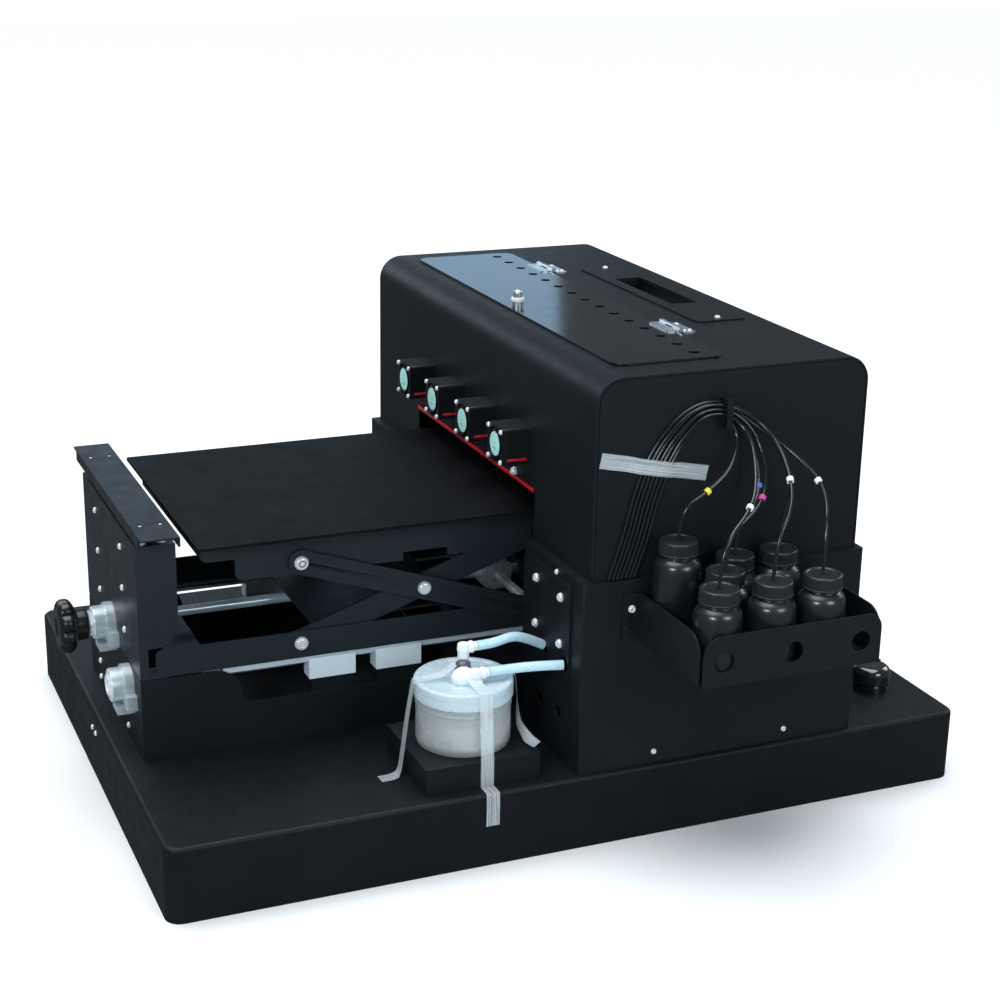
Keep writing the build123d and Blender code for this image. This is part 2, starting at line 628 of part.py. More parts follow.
def printRail():
    """Rail of the print carriage with its brackets, drive motor, idler and toothed belt."""
    body = span((-262, 262), (railY - 5, railY + 5), (railZ - 12, railZ + 12))
    body += both(span((262, 274), (railY - 20, railY + 20), (towerTop, railZ + 20)))
    return Compound(children=[body] + carriageDrive())


def carriage():
    """Print carriage with its head underneath and the lamp housing on one side, parked at the near end."""
    body = span((165, 229), (36, 104), (300, 356))
    body -= span((160, 235), (92, 97), (320, 353))
    body += span((175, 219), (44, 96), (293, 300))
    body += span((141, 165), (40, 90), (298, 352))
    return body - span((135, 235), (railY - 5.3, railY + 5.3), (railZ - 12.3, railZ + 12.3))


def carriageDrive():
    motor = rodY(98, 140, -235, railZ, 18) + rodY(90, 98, -235, railZ, 7)
    idler = rodY(90, 100, 240, railZ, 7) + span((232, 248), (100, 104), (railZ - 70, railZ + 8))
    upper = span((-235, 240), (93, 96), (railZ + 7, railZ + 8.4))
    lower = span((-235, 240), (93, 96), (railZ - 8.4, railZ - 7))
    foot = span((-250, -220), (104, 136), (towerTop, railZ - 12))
    foot2 = span((232, 248), (100, 116), (towerTop, railZ - 66))
    return [motor + foot, idler + foot2, upper, lower]


def cappingStation():
    body = span((168, 226), (40, 100), (towerTop, 280))
    body -= span((176, 218), (48, 92), (276, 281))
    body += span((160, 230), (34, 106), (towerTop, towerTop + 4))
    return body


def powerSupply():
    return span((170, 262), (60, 220), (baseZ + sheet, 118)) + span((180, 262), (0, 50), (baseZ + sheet, 100))


def tubeClip():
    """Small tie on the side panel that gathers the ink tubes."""
    y, z = 116, 396
    body = span((cowlX, wallX + 10.8), (y - 3, y + 3), (z - 13.4, z + 13.4))
    body -= span((cowlX - 1, wallX + 9.3), (y - 5, y + 5), (z - 12, z + 12))
    return body


def rearPuck():
    """Small two-tier round fitting that stands on the base behind the bottles' side."""
    x, y = 206, 342
    low = rodZ(baseZ, baseZ + 6, x, y, 18) + rodZ(baseZ + 6, baseZ + 8, x, y, 15.5)
    top = rodZ(baseZ + 8, baseZ + 25, x, y, 19)
    top = fillet(top.edges().group_by(Axis.Z)[-1], 8)
    return low + fillet(top.edges().group_by(Axis.Z)[0], 2)


def build():
    nodes["base_pan"] = basePan()
    nodes["stand"] = stand()
    nodes["slide_blocks"] = slideBlocks()
    nodes["feed_bearing"] = bearingBlock(feedX, feedZ, plateY, 5.96)
    nodes["feed_screw"] = feedScrew()
    nodes["feed_motor"] = feedMotor()
    nodes["table_frame"] = tableFrame()
    nodes["table_rails"] = tableRails()
    nodes["top_channel"] = topChannel()
    nodes["table_screws"] = tableScrews()
    nodes["lift_bearing"] = bearingBlock(0, pivotZ, plateY, 4.96)
    nodes["lift_screw"] = liftScrew()
    nodes["handwheel"] = handwheel()
    nodes["inner_arms"] = innerArms()
    nodes["outer_arms"] = outerArms()
    nodes["outer_arm_pins"] = outerArmPins()
    nodes["lift_nut"] = liftNut()
    nodes["bed_plate"] = bedPlate()
    nodes["bed_frame"] = bedFrame()
    nodes["lower_body"] = towers()
    nodes["bracket_plates"] = bracketPlates()
    nodes["cowl"] = cowl()
    nodes["fan_shrouds"] = fanShrouds()
    for k, x in enumerate(fanXs):
        nodes[f"fan_rotor_{k + 1}"] = fanRotor(x)
    nodes["lid"] = lid()
    nodes["lid_fittings"] = lidFittings()
    nodes["hinge_leaves"] = Compound(children=[hingeLeaf(x, False) for x in hingeXs])
    nodes["panel_plate"] = panelPlate()
    nodes["control_panel"] = controlPanel()
    for k, (x, w) in enumerate(buttonPlaces):
        nodes[f"button_{k + 1}"] = button(x, w)
    nodes["body_screws"] = bodyScrews()
    nodes["bottle_rack"] = bottleRack()
    nodes["ink_bottles"] = Compound(children=[inkBottle(*b) for b in bottles])
    nodes["bottle_caps"] = Compound(children=[bottleCap(*b) for b in bottles])
    routes = tubeRoutes()
    for k, route in enumerate(routes):
        nodes[f"ink_tube_{k + 1}"] = tube(f"ink_tube_{k + 1}", route, tubeRadius)
    nodes["tube_rings"] = Compound(children=[ringOn(route, tubeRadius) for route in routes])
    nodes["tube_clip"] = tubeClip()
    nodes["waste_stand"] = span((168, 270), (-156, -47), (baseZ, jarFoot))
    nodes["waste_jar"] = wasteJar()
    nodes["jar_lid"] = jarLid()
    for k, route in enumerate(hoseRoutes):
        nodes[f"waste_hose_{k + 1}"] = tube(f"waste_hose_{k + 1}", route, hoseRadius)
    nodes["print_rail"] = printRail()
    nodes["carriage"] = carriage()
    nodes["capping_station"] = cappingStation()
    nodes["power_supply"] = powerSupply()
    nodes["rear_puck"] = rearPuck()


build()
os.makedirs("parts", exist_ok=True)
for name, shape in nodes.items():
    export_step(shape, f"parts/{name}.step")
print(len(nodes), "sub-parts")
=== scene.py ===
from math import cos, sin, radians
import bmesh
import bpy
import numpy as np
from mathutils import Matrix, Vector


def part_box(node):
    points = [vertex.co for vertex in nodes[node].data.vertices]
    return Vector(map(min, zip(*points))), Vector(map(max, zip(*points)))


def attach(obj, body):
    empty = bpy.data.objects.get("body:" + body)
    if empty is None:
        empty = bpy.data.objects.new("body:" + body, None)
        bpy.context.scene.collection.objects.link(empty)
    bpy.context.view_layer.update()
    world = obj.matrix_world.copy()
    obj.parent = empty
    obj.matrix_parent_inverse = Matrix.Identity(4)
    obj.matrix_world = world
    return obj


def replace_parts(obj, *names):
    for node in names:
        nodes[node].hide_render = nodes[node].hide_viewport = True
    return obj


mm = 0.001
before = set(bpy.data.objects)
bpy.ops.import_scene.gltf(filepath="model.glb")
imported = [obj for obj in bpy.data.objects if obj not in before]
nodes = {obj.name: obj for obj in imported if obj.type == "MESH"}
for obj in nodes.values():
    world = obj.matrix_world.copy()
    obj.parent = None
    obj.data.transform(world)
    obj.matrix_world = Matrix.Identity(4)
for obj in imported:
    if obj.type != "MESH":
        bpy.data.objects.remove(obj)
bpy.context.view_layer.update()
print("frame loaded:", len(nodes), "nodes")


# finishes
# One look per finish. grain is how many bumps there are to a metre, and grainDepth their height
# in metres; tone is how far the colour drifts over the surface, and roughDrift the same for gloss.
looks = {
    "powderCoat": dict(color=(0.0086, 0.0116, 0.0145), rough=0.44, roughDrift=0.05, grain=1100,
                       grainDepth=0.00005, tone=0.2, specular=0.18),
    # the frame's coat is the cabinet's black powder coat painted lighter: painted light, so the table
    # frame, bed frame and arms read as catching more light
    "litFrameCoat": dict(color=(0.0155, 0.0225, 0.0295), rough=0.42, roughDrift=0.06, grain=1100,
                      grainDepth=0.00005, tone=0.2, specular=0.25),
    "baseCoat": dict(color=(0.0068, 0.0092, 0.0115), rough=0.46, roughDrift=0.06, grain=1000,
                     grainDepth=0.0001, tone=0.3, specular=0.18),
    "lidCoat": dict(color=(0.006, 0.0095, 0.0135), rough=0.11, roughDrift=0.02, grain=900,
                    grainDepth=0.00001, tone=0.2, specular=0.5),
    "bedCoat": dict(color=(0.0056, 0.0066, 0.0078), rough=0.55, roughDrift=0.06, grain=1400,
                    grainDepth=0.00008, tone=0.3, specular=0.06),
    "channelCoat": dict(color=(0.0095, 0.0125, 0.016), rough=0.36, roughDrift=0.08, grain=1000,
                        grainDepth=0.00006, tone=0.3, specular=0.3),
    "brightSteel": dict(color=(0.80, 0.86, 0.90), rough=0.24, roughDrift=0.06, grain=600,
                        grainDepth=0.00001, tone=0.08, metallic=0.35),
    "hingeSteel": dict(color=(0.66, 0.72, 0.77), rough=0.26, roughDrift=0.08, grain=500,
                       grainDepth=0.00002, tone=0.12, metallic=0.85),
    "keyPlastic": dict(color=(0.022, 0.028, 0.034), rough=0.3, roughDrift=0.04, grain=900,
                       grainDepth=0.00002, tone=0.15, specular=0.5),
    "rodSteel": dict(color=(0.62, 0.74, 0.80), rough=0.2, roughDrift=0.04, grain=300,
                     grainDepth=0.000005, tone=0.08, metallic=0.3),
    "bearingAlloy": dict(color=(0.60, 0.68, 0.72), rough=0.34, roughDrift=0.1, grain=700,
                         grainDepth=0.00006, tone=0.12, metallic=0.55),
    "castAlloy": dict(color=(0.74, 0.86, 0.92), rough=0.36, roughDrift=0.1, grain=900,
                      grainDepth=0.00006, tone=0.1, metallic=0.1),
    "blackPlastic": dict(color=(0.0075, 0.009, 0.0105), rough=0.38, roughDrift=0.06, grain=1500,
                         grainDepth=0.00004, tone=0.2, specular=0.4),
    "fanPlastic": dict(color=(0.008, 0.011, 0.0135), rough=0.32, roughDrift=0.06, grain=1200,
                       grainDepth=0.00005, tone=0.2, specular=0.4),
    "bottlePlastic": dict(color=(0.008, 0.011, 0.015), rough=0.29, roughDrift=0.03, grain=700,
                          grainDepth=0.00002, tone=0.12, specular=1.0),
    "capPlastic": dict(color=(0.012, 0.016, 0.021), rough=0.36, roughDrift=0.05, grain=900,
                       grainDepth=0.00004, tone=0.15, specular=0.6),
    "knobPlastic": dict(color=(0.0065, 0.0075, 0.0085), rough=0.28, roughDrift=0.05, grain=800,
                        grainDepth=0.00003, tone=0.15, specular=0.55),
    "puckGloss": dict(color=(0.012, 0.014, 0.016), rough=0.12, roughDrift=0.03, grain=300,
                      grainDepth=0.00002, tone=0.1, coat=1.0),
    "inkTube": dict(color=(0.010, 0.012, 0.014), rough=0.16, roughDrift=0.04, grain=500,
                    grainDepth=0.00001, tone=0.2, specular=0.7),
    "hose": dict(color=(0.58, 0.82, 0.95), rough=0.28, roughDrift=0.05, grain=400,
                 grainDepth=0.00002, tone=0.03, clear=0.08),
    "frostedJar": dict(color=(0.90, 0.95, 0.97), rough=0.22, roughDrift=0.08, grain=350,
                       grainDepth=0.00004, tone=0.05, clear=0.72),
    "frostedLid": dict(color=(0.70, 0.86, 0.94), rough=0.3, roughDrift=0.08, grain=500,
                       grainDepth=0.00004, tone=0.05, clear=0.3),
    "residue": dict(color=(0.64, 0.71, 0.75), rough=0.6, roughDrift=0.1, grain=160,
                    grainDepth=0.0006, tone=0.5, patches=170),
    "whitePlastic": dict(color=(0.86, 0.92, 0.95), rough=0.35, roughDrift=0.06, grain=300,
                         grainDepth=0.00005, tone=0.04),
    "ventPlastic": dict(color=(0.10, 0.095, 0.125), rough=0.25, roughDrift=0.05, grain=500,
                        grainDepth=0.00002, tone=0.2),
    "mintLabel": dict(color=(0.50, 0.93, 0.84), rough=0.35, roughDrift=0.05, grain=900,
                      grainDepth=0.00001, tone=0.05),
    "darkGreen": dict(color=(0.02, 0.2, 0.16), rough=0.4, roughDrift=0.03, grain=900,
                      grainDepth=0.00001, tone=0.1),
    "redTrim": dict(color=(0.62, 0.012, 0.02), rough=0.36, roughDrift=0.05, grain=700,
                    grainDepth=0.00003, tone=0.12),
    "ringWhite": dict(color=(0.86, 0.88, 0.88), rough=0.4, roughDrift=0.03, grain=900,
                      grainDepth=0.00002, tone=0.04),
    "ringYellow": dict(color=(0.86, 0.72, 0.06), rough=0.4, roughDrift=0.03, grain=900,
                       grainDepth=0.00002, tone=0.05),
    "ringMagenta": dict(color=(0.72, 0.06, 0.36), rough=0.4, roughDrift=0.03, grain=900,
                        grainDepth=0.00002, tone=0.05),
    "ringBlue": dict(color=(0.08, 0.16, 0.62), rough=0.4, roughDrift=0.03, grain=900,
                     grainDepth=0.00002, tone=0.05),
    "legend": dict(color=(0.62, 0.68, 0.70), rough=0.5, roughDrift=0.03, grain=900,
                   grainDepth=0.00001, tone=0.05),
    "screwPlate": dict(color=(0.85, 0.87, 0.88), rough=0.16, roughDrift=0.06, grain=500,
                       grainDepth=0.00001, tone=0.05, metallic=1.0),
}


def finish(name, look):
    # colour drifts with a slow noise, gloss with a middling one, and a fine one gives the bumps
    mat = bpy.data.materials.new(name)
    mat.use_nodes = True
    tree = mat.node_tree
    shader = tree.nodes["Principled BSDF"]
    place = tree.nodes.new("ShaderNodeTexCoord")

    def noise(scale, detail):
        n = tree.nodes.new("ShaderNodeTexNoise")
        n.inputs["Scale"].default_value = scale
        n.inputs["Detail"].default_value = detail
        tree.links.new(place.outputs["Object"], n.inputs["Vector"])
        return n.outputs["Fac"]

    tone = tree.nodes.new("ShaderNodeMix")
    tone.data_type = "RGBA"
    dark, light = 1 - look["tone"], 1 + look["tone"]
    tone.inputs["A"].default_value = [c * dark for c in look["color"]] + [1]
    tone.inputs["B"].default_value = [min(1, c * light) for c in look["color"]] + [1]
    tree.links.new(noise(look.get("patches", 14), 3), tone.inputs["Factor"])
    tree.links.new(tone.outputs["Result"], shader.inputs["Base Color"])
    gloss = tree.nodes.new("ShaderNodeMapRange")
    gloss.inputs["From Min"].default_value = 0.3
    gloss.inputs["From Max"].default_value = 0.7
    gloss.inputs["To Min"].default_value = look["rough"] - look["roughDrift"]
    gloss.inputs["To Max"].default_value = look["rough"] + look["roughDrift"]
    tree.links.new(noise(60, 5), gloss.inputs["Value"])
    tree.links.new(gloss.outputs["Result"], shader.inputs["Roughness"])
    bump = tree.nodes.new("ShaderNodeBump")
    bump.inputs["Strength"].default_value = 0.7
    bump.inputs["Distance"].default_value = look["grainDepth"]
    tree.links.new(noise(look["grain"], 2), bump.inputs["Height"])
    tree.links.new(bump.outputs["Normal"], shader.inputs["Normal"])
    shader.inputs["Metallic"].default_value = look.get("metallic", 0)
    shader.inputs["Specular IOR Level"].default_value = look.get("specular", 0.5)
    shader.inputs["Coat Weight"].default_value = look.get("coat", 0)
    shader.inputs["Coat Roughness"].default_value = 0.12
    shader.inputs["Transmission Weight"].default_value = look.get("clear", 0)
    shader.inputs["Alpha"].default_value = look.get("alpha", 1)
    return mat


finishes = {name: finish(name, look) for name, look in looks.items()}

finishOfNode = {
    "powderCoat": ["stand", "lower_body", "cowl", "bracket_plates", "bottle_rack", "panel_plate",
                   "waste_stand"],
    # the frames and arms take the lighter, painted-light copy of the black powder coat
    "litFrameCoat": ["table_frame", "bed_frame", "inner_arms", "outer_arms"],
    "baseCoat": ["base_pan"],
    "lidCoat": ["lid"],
    "bedCoat": ["bed_plate"],
    "channelCoat": ["top_channel"],
    "brightSteel": ["outer_arm_pins", "table_screws", "body_screws"],
    "hingeSteel": ["hinge_leaves", "lid_fittings"],
    "keyPlastic": [f"button_{k + 1}" for k in range(5)],
    "rodSteel": ["feed_screw", "lift_screw", "table_rails", "print_rail"],
    "bearingAlloy": ["feed_bearing", "lift_bearing", "lift_nut"],
    "castAlloy": ["slide_blocks", "power_supply"],
    "blackPlastic": ["handwheel", "control_panel", "carriage", "capping_station", "tube_clip",
                     "feed_motor"],
    "fanPlastic": ["fan_shrouds"] + [f"fan_rotor_{k + 1}" for k in range(4)],
    "bottlePlastic": ["ink_bottles"],
    "capPlastic": ["bottle_caps"],
    "puckGloss": ["rear_puck"],
}
for name, members in finishOfNode.items():
    for member in members:
        mesh = nodes[member].data
        mesh.materials.clear()
        mesh.materials.append(finishes[name])

# sheet edges catch a thin line of light: the frame's triangles are welded, then sharp edges are rounded
edgeRound = dict(top_channel=0.5, table_frame=0.45, bed_frame=0.4, bed_plate=0.6, outer_arms=0.4,
                 inner_arms=0.4, stand=0.4, bracket_plates=0.4, bottle_rack=0.4, lower_body=0.5,
                 waste_stand=0.8, panel_plate=0.4, slide_blocks=0.4, lid=0.4)
for name, width in edgeRound.items():
    weld = nodes[name].modifiers.new("weld", "WELD")
    weld.merge_threshold = 0.00001
    soften = nodes[name].modifiers.new("soften", "BEVEL")
    soften.width, soften.segments, soften.limit_method = width * mm, 2, "ANGLE"
    soften.angle_limit = radians(50)
    soften.harden_normals = True


def clearTape():
    # clear adhesive film: fine lengthwise streaks decide how milky it is across its width
    mat = finish("clearTape", dict(color=(0.80, 0.88, 0.92), rough=0.2, roughDrift=0.06, grain=300,
                                   grainDepth=0.00003, tone=0.05))
    tree = mat.node_tree
    shader = tree.nodes["Principled BSDF"]
    uv = tree.nodes.new("ShaderNodeUVMap")
    uv.uv_map = "along"
    stretch = tree.nodes.new("ShaderNodeMapping")
    stretch.inputs["Scale"].default_value = (6, 26, 1)
    streak = tree.nodes.new("ShaderNodeTexNoise")
    streak.inputs["Scale"].default_value = 1.6
    streak.inputs["Detail"].default_value = 3
    milky = tree.nodes.new("ShaderNodeMapRange")
    milky.inputs["From Min"].default_value = 0.35
    milky.inputs["From Max"].default_value = 0.65
    milky.inputs["To Min"].default_value = 0.08
    milky.inputs["To Max"].default_value = 0.52
    tree.links.new(uv.outputs["UV"], stretch.inputs["Vector"])
    tree.links.new(stretch.outputs["Vector"], streak.inputs["Vector"])
    tree.links.new(streak.outputs["Fac"], milky.inputs["Value"])
    tree.links.new(milky.outputs["Result"], shader.inputs["Alpha"])
    return mat


finishes["clearTape"] = clearTape()
print("finishes on the frame")



# tools for the pieces
up = (0.0, 0.0, 1.0)


def rounded(corners, radius, steps=4):
    # an outline whose inner corners become arcs: each is a quadratic curve between two cut points
    corners = [np.array(c, float) for c in corners]
    line = [corners[0]]
    t = np.linspace(0, 1, steps + 1)[:, None]
    for before, corner, after in zip(corners, corners[1:], corners[2:]):
        back, ahead = before - corner, after - corner
        cut = min(radius, 0.45 * np.linalg.norm(back), 0.45 * np.linalg.norm(ahead))
        a = corner + back / np.linalg.norm(back) * cut
        b = corner + ahead / np.linalg.norm(ahead) * cut
        line.extend((1 - t) ** 2 * a + 2 * t * (1 - t) * corner + t ** 2 * b)
    line.append(corners[-1])
    return np.array(line)


def turned(profile, around, ripple=None):
    # a turned shape: radius and height along the profile, swept once round Z; ripple scales the radius
    radius, height = np.asarray(profile, float).T
    angle = np.linspace(0, 2 * np.pi, around, endpoint=False)
    radius = radius[:, None] * np.ones(around)
    height = height[:, None] * np.ones(around)
    if ripple is not None:
        radius = radius * ripple(radius, height, angle)
    return np.stack([radius * np.cos(angle), radius * np.sin(angle), height], -1)


def placed(grid, at, axis=up):
    # turns a grid's Z axis to the given axis and moves its origin to the given point
    z = np.array(axis, float) / np.linalg.norm(axis)
    x = np.cross(z, (0.31, 0.17, 0.93) if abs(z[2]) < 0.9 else (0, 1, 0))
    x /= np.linalg.norm(x)
    return grid @ np.stack([x, np.cross(z, x), z]) + np.array(at, float)


def piece(name, grids, finishName, body, smooth=40, around=True, scale=mm):
    # one mesh from grids of points; neighbours along and across a grid share a face
    points, faces, start = [], [], 0
    for grid in grids:
        rows, columns = grid.shape[:2]
        index = start + np.arange(rows * columns).reshape(rows, columns)
        if around:
            index = np.concatenate([index, index[:, :1]], 1)
        faces.append(np.stack([index[:-1, :-1], index[:-1, 1:], index[1:, 1:], index[1:, :-1]],
                              -1).reshape(-1, 4))
        points.append(grid.reshape(-1, 3) * scale)
        start += rows * columns
    mesh = bpy.data.meshes.new(name)
    mesh.from_pydata(np.concatenate(points), [], np.concatenate(faces))
    mesh.materials.append(finishes[finishName])
    tidy = bmesh.new()
    tidy.from_mesh(mesh)
    bmesh.ops.remove_doubles(tidy, verts=tidy.verts, dist=1e-6)
    bmesh.ops.dissolve_degenerate(tidy, edges=tidy.edges, dist=1e-7)
    bmesh.ops.recalc_face_normals(tidy, faces=tidy.faces)
    tidy.to_mesh(mesh)
    tidy.free()
    mesh.polygons.foreach_set("use_smooth", np.ones(len(mesh.polygons), bool))
    mesh.set_sharp_from_angle(angle=radians(smooth))
    ob = bpy.data.objects.new(name, mesh)
    bpy.context.collection.objects.link(ob)
    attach(ob, body)
    return ob


def corner(node, which=0):
    return np.array(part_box(node)[which]) / mm


# bottles
bottle = dict(radius=21.25, neck=14.8, capRadius=17.2, capHeight=12.5, ribs=64, ribDepth=0.022)
rackCorner = corner("bottle_rack")
# each bottle's distance from the rack's inner low corner, and the height of its cap's top above it
bottlePlaces = [(22, 41, 100), (22, 98, 80), (55, 70, 80), (91, 44, 80), (22, 142, 80), (91, 96, 80),
                (91, 145, 80)]


def makeBottles():
    bodies, caps = [], []
    for x, y, top in bottlePlaces:
        foot = rackCorner + (x, y, 1.6)
        h = top - 1.6
        r, neck = bottle["radius"], bottle["neck"]
        outline = [(0, 1.4), (14, 1.4), (17, 0), (r - 1.5, 0), (r, 3), (r, h - 27), (r - 1.2, h - 20),
                   (neck + 1, h - 15.6), (neck, h - 14.8), (neck + 1.2, h - 14.2), (neck + 1.2, h - 13.2),
                   (neck - 1, h - 12.8), (neck - 1, h - 4), (0, h - 4)]
        bodies.append(turned(rounded(outline, 5), 72) + foot)
        cr, ch = bottle["capRadius"], bottle["capHeight"]
        lid = [(0, h - 1), (cr - 4, h - 1), (cr - 3.2, h - 0.1), (cr - 1, h), (cr, h - 1.4),
               (cr, h - ch + 1.6), (cr + 0.35, h - ch + 1.2), (cr + 0.35, h - ch), (neck + 0.4, h - ch),
               (neck + 0.4, h - 3.2), (0, h - 3.2)]

        def ribs(radius, height, angle):
            skirt = (height < h - 1.6) & (height > h - ch + 1.4) & (radius > cr - 0.5)
            return 1 - bottle["ribDepth"] * skirt * (0.5 + 0.5 * np.cos(bottle["ribs"] * angle)) ** 2

        caps.append(turned(rounded(lid, 0.7, 3), bottle["ribs"] * 5, ribs) + foot)
    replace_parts(piece("bottles", bodies, "bottlePlastic", "base"), "ink_bottles")
    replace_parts(piece("bottleCaps", caps, "capPlastic", "base"), "bottle_caps")
    print("bottles and caps")


# tubes and hoses
tubing = dict(radius=1.6, pitch=4.1, layer=3.4, ringRadius=3.1, ringLength=4.2)
panelX = corner("cowl", 1)[0]
wallX = panelX + 1.75


def laneRoute(lane):
    # up the side panel and over to the clip: each tube keeps its own lane of the flat ribbon
    lift = tubing["layer"] if lane % 2 else 0
    middle = [(22, 253.4, 1, 0, 90), (34, 287, 1, 0, 74), (41, 319, 1, 0, 73), (52, 352, 1, 0.1, 66),
              (70, 382, 0.86, 0.45, 50), (93, 401, 0.6, 0.9, 20), (120, 399, 0.46, 1, -20)]
    route = []
    for y, z, width, rise, heading in middle:
        a = radians(heading)
        offset = (lane - 3) * tubing["pitch"] * width
        route.append((wallX + lift * rise, y + offset * sin(a), z - offset * cos(a)))
    return route


# lane of the ribbon, colour of the marker ring, how far along it sits, and the rest of the route
tubeTails = [
    (6, "ringYellow", 0.83, [(285, 128, 375), (299, 115, 352), (303, 91, 334), (302, 64, 319),
                             (302, 64, 293)]),
    (4, "ringBlue", 0.80, [(284, 137, 374), (294, 145, 346), (303, 140, 318), (302, 121, 296),
                           (302, 121, 273)]),
    (3, "ringMagenta", 0.79, [(290, 140, 381), (308, 144, 352), (327, 131, 324), (335, 93, 304),
                              (335, 93, 273)]),
    (5, "ringWhite", 0.78, [(296, 132, 380), (321, 126, 355), (350, 108, 333), (371, 67, 309),
                            (371, 67, 273)]),
    (0, "ringWhite", 0.83, [(282.5, 151, 385.5), (296, 166, 356), (303, 176, 326), (302, 165, 299),
                            (302, 165, 273)]),
    (1, "ringWhite", 0.76, [(299, 146, 387), (328, 151, 362), (358, 143, 334), (371, 119, 305),
                            (371, 119, 273)]),
    (2, "ringWhite", 0.78, [(289, 148, 379), (313, 170, 362), (344, 184, 337), (371, 168, 307),
                            (371, 168, 273)]),
]
hoseRoutes = [
    [(212, -86, 180), (212, -70, 180), (209, -50, 183.5), (205, -32, 176), (204.5, -17.5, 168)],
    [(236, -84, 164), (236, -68, 164), (242, -44, 166), (249, -17.5, 166)],
]


def cordCurve(name, route, radius, finishName):
    line = bpy.data.curves.new(name, "CURVE")
    line.dimensions = "3D"
    spline = line.splines.new("NURBS")
    spline.points.add(len(route) - 1)
    for point, place in zip(spline.points, route):
        point.co = (*(c * mm for c in place), 1)
    spline.order_u = 3
    spline.use_endpoint_u = True
    spline.resolution_u = 16
    ob = bpy.data.objects.new(name, line)
    bpy.context.collection.objects.link(ob)
    centre = bpy.data.meshes.new_from_object(ob)
    path = np.zeros(len(centre.vertices) * 3)
    centre.vertices.foreach_get("co", path)
    path = path.reshape(-1, 3)
    line.bevel_depth = radius * mm
    line.bevel_resolution = 5
    line.use_fill_caps = True
    line.materials.append(finishes[finishName])
    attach(ob, "base")
    length = np.linalg.norm(np.diff(path, axis=0), axis=1).sum()
    return ob, path, float(length)


def along(path, share):
    # point and direction at a share of a path's length
    steps = np.linalg.norm(np.diff(path, axis=0), axis=1)
    gone = np.concatenate([[0], np.cumsum(steps)])
    k = min(np.searchsorted(gone, share * gone[-1]), len(path) - 1)
    way = path[k] - path[k - 1]
    rest = (share * gone[-1] - gone[k - 1]) / steps[k - 1]
    return (path[k - 1] + way * rest) / mm, way / np.linalg.norm(way)


def makeCords():
    r, half = tubing["ringRadius"], tubing["ringLength"] / 2
    section = rounded([(1.7, -half), (r, -half), (r, half), (1.7, half), (1.7, -half)], 0.5, 3)
    rings = []
    for k, (lane, ring, share, tail) in enumerate(tubeTails):
        route = laneRoute(lane) + tail
        tube, path, length = cordCurve(f"inkTube{k + 1}", route, tubing["radius"], "inkTube")
        at, way = along(path, share)
        clip = piece(f"markerRing{k + 1}", [placed(turned(section, 24), at, way)], ring, "base")
        rings.append(clip)
        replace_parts(tube, f"ink_tube_{k + 1}")
    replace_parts(rings[0], "tube_rings")
    for k, route in enumerate(hoseRoutes):
        hose, path, length = cordCurve(f"wasteHose{k + 1}", route, 4.5, "hose")
        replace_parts(hose, f"waste_hose_{k + 1}")
    print("ink tubes and waste hoses")


# waste jar
jar = dict(radius=43, wall=1.6, lidRadius=44.8, ribs=90)


